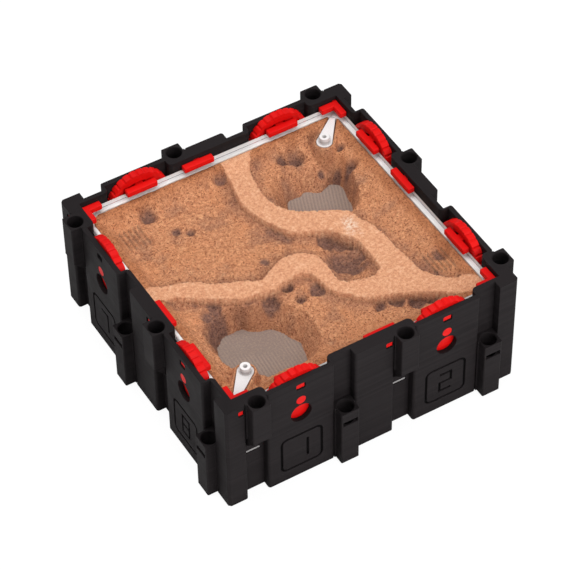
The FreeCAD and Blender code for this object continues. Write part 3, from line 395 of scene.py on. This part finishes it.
# The outline of the two raised paths, from the centre: along the long path's far edge, round the hollow between the
# paths, up and down the short path, and back along the long path's near edge
PATHS = ((-92.8, 14.2), (-83.8, 18.2), (-70.3, 15.5), (-62.8, 12.9), (-55, 8.5), (-48, 2.8), (-31.5, -4.5),
         (-24.5, -7.9), (-20.2, -7.6), (-7.7, -1.8), (-2.5, -0.2), (8.4, -2), (14.7, -7.8), (16.4, -11.8),
         (17.3, -17.3), (17.3, -23.1), (16.3, -29.2), (17.6, -33.9), (21.8, -37.4), (33.7, -40.9), (38.5, -40),
         (41.8, -38.1), (42.9, -34), (43.8, -18), (41.6, -7.7), (36.8, -1.8), (35, 2.3), (30.8, 5.9), (17, 12.4),
         (12.3, 16.3), (8.5, 21.7), (2.4, 35.4), (-0.6, 48.3), (-1, 53.6), (1.9, 67.1), (4.3, 81.1), (7, 98.2),
         (28.9, 97.3), (23.8, 83.7), (20.2, 77.5), (17.2, 70), (15.2, 55.8), (15.3, 48.6), (16.2, 43), (18.6, 37.5),
         (22.5, 32), (28.1, 27.1), (43.1, 18.8), (50.3, 14.3), (53.6, 10.3), (54.8, 3), (57.1, -1.4), (59, -7.5),
         (59.9, -14), (60.3, -29.1), (62.2, -44), (63.1, -50.3), (65.4, -56.6), (69.7, -62.1), (74.9, -67.2),
         (81.4, -70.3), (87.1, -76.7), (90.9, -83.9), (80.3, -84.9), (72.3, -81.9), (62.1, -73.7), (51, -66.9),
         (43.8, -63.8), (37.2, -59.8), (27.6, -57.2), (18, -51.3), (15.8, -47.1), (11.4, -42.9), (8.1, -38),
         (5.7, -23.6), (3.9, -19.7), (0.6, -17.1), (-3.1, -16.3), (-12.1, -17.4), (-19.8, -19.8), (-33.2, -17.8),
         (-37.7, -17.4), (-42.9, -15.6), (-56, -7.5), (-69.8, 1.9), (-77.2, 5.6), (-92, 6))
# Each pit: the outline of its floor on the pad, and that of its rim up on the ground
PITS = (
    (((-64, -27), (-58, -21.5), (-52, -20.3), (-44, -20.5), (-40, -25), (-35, -28), (-30, -29), (-26, -33),
      (-23, -41), (-20, -47), (-20.5, -53), (-22, -60), (-26, -64), (-42, -64), (-58, -63), (-66, -54), (-70, -40)),
     ((-75, -44), (-76.5, -52), (-74, -58), (-69, -62), (-64, -69), (-64, -75), (-63, -79), (-59, -80.5),
      (-54, -79.5), (-45, -80), (-35, -81.5), (-24, -79), (-12, -68), (-6, -50), (-10, -34), (-22, -22), (-40, -17),
      (-60, -11), (-74, -18), (-78, -30))),
    (((33.4, 55), (37.4, 56.5), (42.6, 56.1), (46.4, 57.2), (50, 56.2), (56.2, 53.3), (61, 54.9), (65, 55.7),
      (68.5, 52.9), (70, 49.4), (69, 43.3), (67.5, 36.3), (66, 30), (60, 24), (50, 28), (38, 35), (29, 43)),
     ((17, 37), (21, 31), (27, 25.5), (35, 21.5), (43, 17), (50, 12.5), (57, 10), (65, 16), (70, 27), (73, 38),
      (76, 48), (76, 60), (70, 72), (56, 78), (42, 77), (28, 72), (18, 58), (15, 46))),
)
# Hollows: the middle's x and y, radius and depth
HOLLOWS = ((31, -18, 13, 8), (38, -3, 8, 6), (30, 2, 6, 5), (-53, 77, 6, 5), (-1, 80, 5, 3), (-37, 52, 3.5, 3),
           (-44, 57, 3, 2), (50, 73, 7, 8), (43, 76, 4, 5), (75, 47, 4.5, 7), (69, 54, 3, 5), (77, 63, 3, 3),
           (61, 60, 3, 4), (-11, -19, 4, 5), (-25, -24, 6, 6), (-8, -31, 3.5, 4), (-56, -11, 5, 3), (-63, -14, 5, 3),
           (-60, -24, 12, 1), (39, -62, 5, 4), (49, -69, 5, 4), (58, -71, 4, 4), (28, -61, 4, 4), (-12, 6, 3, 0.6),
           (3, -30, 5, 3), (80, -47, 6, 4))
# A patch of pale grains on the long path: its middle and its half spans
PALE_MIDDLE, PALE_SPANS = (47, 3), (7, 10)

# Heights above the underside
LID_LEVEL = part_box("lid")[0][2] / MM
PAD_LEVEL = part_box("hydration_pad_front")[1][2] / MM
GROUND_LEVEL, PATH_LEVEL, BANK_LEVEL = LID_LEVEL - 8.2, LID_LEVEL - 3.2, LID_LEVEL - 0.5
SAND_TOP = LID_LEVEL - 0.15     # nowhere higher than this
SAND_LOW = PAD_LEVEL - 1.4      # nowhere lower than this
PIT_FLOOR = PAD_LEVEL - 1.2
PIT_RISE, PIT_CURVE = 26, 0.85  # from a pit's floor to its rim
INLET_BED = LID_LEVEL - 4.2
INLET_SEAT = BANK_LEVEL + 0.5   # the sand packed round the inlets

# Noise patterns: size, seed and octaves
WOBBLE, COARSE, FINE = (9, 3.3, 3), (15, 7.1, 5), (3.2, 1.7, 4)
COARSE_RISE, FINE_RISE = 1.3, 0.9
# How far the banks and the orange crust reach from the walls: where each begins to fade and where it ends
BANK, WIDE_BANK, CRUST, PATH_END = (2.5, 13), (2.5, 24), (1.5, 10), (2, 12)
WIDE_BANK_START = (-75, -60)    # in y, where the right wall's wide bank begins
WIDE_BANK_SHARE = 0.85
# Gaps from the inlets between which the packed sand fades out, and those between which their bed ends
INLET_PACKED, INLET_FREE = (1.2, 4.0), (-0.3, 0.5)
INLET_RADIUS, INLET_TAPER = 5.0, 2.8
WALL_GAP = 0.2                  # between the sand and the tray's walls
GRID_COUNT = 331                # points along each side of the sand
SAND_NODES = [name for name in NODES if name.startswith("substrate")]


def smooth_line(points, steps=4):
    """Points along a smooth curve through a list of points."""
    line = []
    for i in range(len(points) - 1):
        p0, p1 = np.array(points[max(i - 1, 0)], float), np.array(points[i], float)
        p2, p3 = np.array(points[i + 1], float), np.array(points[min(i + 2, len(points) - 1)], float)
        for index in range(steps):
            t = index / steps
            line.append(0.5 * (2 * p1 + (p2 - p0) * t + (2 * p0 - 5 * p1 + 4 * p2 - p3) * t * t
                               + (3 * p1 - p0 - 3 * p2 + p3) * t ** 3))
    return np.array(line)


def distance_to(line, x, y):
    """The distance of each point from the nearest point of a line."""
    return np.sqrt(((x[:, None] - line[None, :, 0]) ** 2 + (y[:, None] - line[None, :, 1]) ** 2).min(axis=1))


def inside(outline, x, y):
    """Whether each point lies inside a closed outline."""
    result = np.zeros(len(x), bool)
    for (x0, y0), (x1, y1) in zip(outline, np.roll(outline, -1, axis=0)):
        crosses = (y0 > y) != (y1 > y)
        result ^= crosses & (x < (x1 - x0) * (y - y0) / (y1 - y0 + 1e-12) + x0)
    return result


def outside_by(outline, x, y):
    """How far each point lies outside a smoothed closed outline, negative inside it."""
    closed = smooth_line(outline + outline[:1])
    return distance_to(closed, x, y) * np.where(inside(closed, x, y), -1, 1)


def step(low, high, value):
    """A smooth step from 0 at low to 1 at high."""
    t = np.clip((value - low) / (high - low), 0, 1)
    return t * t * (3 - 2 * t)


def near(span, value):
    """1 up to the start of a span, falling smoothly to 0 at its end."""
    return 1 - step(*span, value)


def mixed(base, other, share):
    return base * (1 - share) + other * share


def rough(x, y, scale, seed, octaves):
    """Fractal noise about 0 at each point."""
    return np.array([noise.fractal(Vector((a / scale, b / scale, seed)), 0.9, 2.1, octaves) for a, b in zip(x, y)])


def inlet_footprint(x, y, span):
    """How near each point is to the two inlets, which lie along the diagonal: 1 up to a span of gaps and 0 past it."""
    share = np.zeros(len(x))
    for name, sign in (("inlet_front", -1), ("inlet_back", 1)):
        low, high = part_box(name)
        near_corner, far_corner = (low, high) if sign > 0 else (high, low)
        axis = near_corner[0] / MM + sign * INLET_RADIUS
        reach = far_corner[0] / MM
        t = np.clip(((x - axis) + (y - axis)) / (2 * (reach - axis)), 0, 1)
        gap = np.hypot(x - axis - t * (reach - axis), y - axis - t * (reach - axis)) - INLET_RADIUS + t * INLET_TAPER
        share = np.maximum(share, near(span, gap))
    return share


def shape_sand(x, y, half):
    """The sand's height at each point, and the share that each of its looks has there."""
    wobble, coarse, fine = [rough(x, y, *pattern) for pattern in (WOBBLE, COARSE, FINE)]
    wall = half - np.maximum(abs(x), abs(y))

    # Uneven ground, banked up along the walls and more widely along the right one
    height = GROUND_LEVEL + COARSE_RISE * coarse + FINE_RISE * fine
    bank = near(BANK, wall + 2.0 * wobble)
    wide_bank = near(WIDE_BANK, half - x + 2.0 * wobble) * step(*WIDE_BANK_START, y)
    bank = np.maximum(bank, WIDE_BANK_SHARE * wide_bank)
    height = mixed(height, BANK_LEVEL + 0.4 * fine, bank)

    # This share darkens the dents and, faintly, the pits' slopes: darker damp soil with painted shade.
    damp_and_shade = np.zeros(len(x))
    for middle_x, middle_y, radius, depth in HOLLOWS:
        dent = near((0.25, 1.25), np.hypot(x - middle_x, y - middle_y) / radius + 0.3 * wobble)
        height -= depth * dent
        damp_and_shade = np.maximum(damp_and_shade, dent)

    # Pits down to the pads, with sloping sides
    for floor_outline, rim_outline in PITS:
        beyond_floor = outside_by(floor_outline, x, y) + 1.2 * wobble
        within_rim = -outside_by(rim_outline, x, y) + 1.2 * wobble
        rise = beyond_floor / np.maximum(beyond_floor + np.maximum(within_rim, 0), 0.1)
        rise = np.clip(rise, 0, 1)
        # A faint painted shade down the pits' slopes.
        damp_and_shade = np.maximum(damp_and_shade, 0.15 * near((0.2, 0.8), rise))
        slope = PIT_FLOOR + PIT_RISE * rise ** PIT_CURVE + 1.2 * fine * step(0, 5, beyond_floor)
        height = np.minimum(height, np.where(within_rim > 0, slope, SAND_TOP))

    # Raised paths, which rise to the banks where they meet the walls
    off_path = outside_by(PATHS, x, y)
    path = near((-0.9, 1.1), off_path + 0.5 * wobble + 0.9 * fine)
    path_height = PATH_LEVEL + 0.25 * wobble + (BANK_LEVEL - PATH_LEVEL) * near(PATH_END, wall)
    height = mixed(height, path_height, path)

    # Sand packed round the inlets, and the beds that they lie in
    height = mixed(height, INLET_SEAT, inlet_footprint(x, y, INLET_PACKED))
    bed = inlet_footprint(x, y, INLET_FREE)
    height = mixed(np.minimum(height, SAND_TOP), np.minimum(height, INLET_BED), bed)
    height = np.maximum(height, SAND_LOW)

    crust = near(CRUST, wall + 3.0 * wobble)
    beside_path = near((0, 11), off_path + 3 * wobble)
    # Painted shade mixed with darker damp soil: in the dents and pits, beside the paths and in low patches of the
    # coarse noise, none on the paths and less near the walls.
    shade = np.clip(damp_and_shade + 0.4 * beside_path + 0.35 * step(0.0, 0.7, -coarse), 0, 1) * (1 - path) * (1 - 0.7 * crust)
    from_pale = np.hypot((x - PALE_MIDDLE[0]) / PALE_SPANS[0], (y - PALE_MIDDLE[1]) / PALE_SPANS[1])
    pale = near((0.2, 1.0), from_pale + 0.6 * wobble) * path
    return height, {"path": path, "damp_and_shade": shade, "edge": crust * (1 - path) * 0.85, "pale": pale}


def sand_mesh(x, y, height, floor):
    """A closed mesh with the sand's surface on top, upright sides and a flat base."""
    mesh = bpy.data.meshes.new("sand_landscape")
    shape = bmesh.new()
    points = [shape.verts.new((a * MM, b * MM, z * MM)) for a, b, z in zip(x, y, height)]
    last = GRID_COUNT - 1
    for j in range(last):
        for i in range(last):
            a = j * GRID_COUNT + i
            shape.faces.new((points[a], points[a + 1], points[a + GRID_COUNT + 1], points[a + GRID_COUNT]))
    rim = [points[i] for i in range(GRID_COUNT)]
    rim += [points[j * GRID_COUNT + last] for j in range(1, GRID_COUNT)]
    rim += [points[last * GRID_COUNT + i] for i in range(last - 1, -1, -1)]
    rim += [points[j * GRID_COUNT] for j in range(last - 1, 0, -1)]
    base = [shape.verts.new((v.co.x, v.co.y, floor * MM)) for v in rim]
    for k, vertex in enumerate(rim):
        after = (k + 1) % len(rim)
        shape.faces.new((vertex, base[k], base[after], rim[after]))
    shape.faces.new(list(reversed(base)))
    shape.to_mesh(mesh)
    shape.free()
    mesh.polygons.foreach_set("use_smooth", [True] * len(mesh.polygons))
    return mesh


def make_substrate():
    """The sand as one landscape, in place of the substrate's solids."""
    boxes = [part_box(name) for name in SAND_NODES]
    half = max(high[0] for low, high in boxes) / MM - WALL_GAP
    floor = min(low[2] for low, high in boxes) / MM
    ticks = np.linspace(-half, half, GRID_COUNT)
    x, y = [axis.ravel() for axis in np.meshgrid(ticks, ticks)]
    height, looks = shape_sand(x, y, half)
    mesh = sand_mesh(x, y, height, floor)
    for name, values in looks.items():
        layer = mesh.attributes.new(name, "FLOAT", "POINT")
        at_base = np.zeros(len(mesh.vertices) - len(values))
        layer.data.foreach_set("value", np.concatenate([values, at_base]).astype(np.float32))
    sand = bpy.data.objects.new("sand_landscape", mesh)
    bpy.context.scene.collection.objects.link(sand)
    paint(sand, LOOKS["sand"])
    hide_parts(*SAND_NODES)
    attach(sand, "housing")


# ---- Studio ----

# Each lamp: name, place and size in metres, and power in watts
LAMPS = (("key", (-0.2, 0.3, 1.7), 1.2, 20), ("fill", (0.3, -1.6, 1.0), 1.4, 26))
LAMP_TARGET = Vector((0, 0, 0.05))


def make_studio():
    """White floor, soft light from above and an even white surround."""
    bpy.ops.mesh.primitive_plane_add(size=12, location=(0, 0, -0.0002))
    floor = bpy.context.object
    floor.name = "floor"
    paint(floor, make_floor_material())
    world = bpy.data.worlds.new("surround")
    world.use_nodes = True
    background = world.node_tree.nodes["Background"]
    background.inputs["Color"].default_value = neutral(1)
    background.inputs["Strength"].default_value = 0.4
    bpy.context.scene.world = world
    for name, place, size, power in LAMPS:
        data = bpy.data.lights.new(name, "AREA")
        data.size = size
        data.energy = power
        lamp = bpy.data.objects.new(name, data)
        lamp.location = place
        lamp.rotation_euler = (LAMP_TARGET - Vector(place)).to_track_quat("-Z", "Y").to_euler()
        bpy.context.scene.collection.objects.link(lamp)
    bpy.context.scene.view_settings.view_transform = "Standard"


make_camera()
WHITE, RED = make_white(), make_red()
LOOKS = {
    "housing": make_black(), "tray": WHITE, "inlet": WHITE, "seal": make_seal(), "clear": make_clear(),
    "pad": make_pad("ribbed_pad", turn=22, worn=0.3), "sponge": make_sponge(), "sand": make_sand(),
    "gate": RED, "clip": RED,
}
for part in frame["record"]["subparts"]:
    paint(NODES[part["node"]], LOOKS[part["material_slot"]])
paint(NODES["hydration_pad_front"], make_pad("ribbed_pad_front", turn=4, worn=0.5))
make_substrate()
make_studio()
